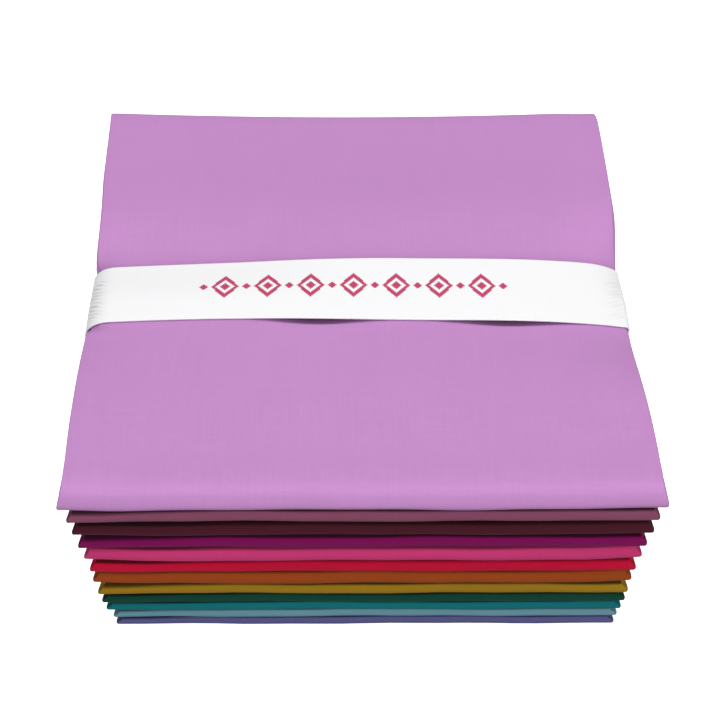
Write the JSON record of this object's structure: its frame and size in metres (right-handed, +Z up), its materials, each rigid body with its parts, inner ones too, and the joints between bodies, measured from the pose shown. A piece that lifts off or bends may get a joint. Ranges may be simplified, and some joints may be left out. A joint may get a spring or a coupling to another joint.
{
  "type": "fat quarter bundle",
  "caption": "Neat stack of folded plain cotton fat quarters in a range of colours, held round the middle by a white ribbed tape.",
  "frame": {"origin": "on the ground, under the middle of the stack", "axes": "+X along the folded quarters' long side and along the tape, -Y towards the side that shows the folds, +Z up"},
  "size_m": [0.1591, 0.1396, 0.0844],
  "materials": {
    "cotton_lilac": "matt plain weave",
    "cotton_plum": "matt plain weave",
    "cotton_maroon": "matt plain weave",
    "cotton_purple": "matt plain weave",
    "cotton_pink": "matt plain weave",
    "cotton_red": "matt plain weave",
    "cotton_rust": "matt plain weave",
    "cotton_mustard": "matt plain weave",
    "cotton_green": "matt plain weave",
    "cotton_teal": "matt plain weave",
    "cotton_pale_blue": "matt plain weave",
    "cotton_periwinkle": "matt plain weave",
    "woven_tape": "soft sheen, ribbed weave"
  },
  "bodies": {
    "root": {"quarter_lilac": "cotton_lilac", "quarter_plum": "cotton_plum", "quarter_maroon": "cotton_maroon", "quarter_purple": "cotton_purple", "quarter_pink": "cotton_pink", "quarter_red": "cotton_red", "quarter_rust": "cotton_rust", "quarter_mustard": "cotton_mustard", "quarter_green": "cotton_green", "quarter_teal": "cotton_teal", "quarter_pale_blue": "cotton_pale_blue", "quarter_periwinkle": "cotton_periwinkle", "tape": "woven_tape"}
  },
  "joints": []
}
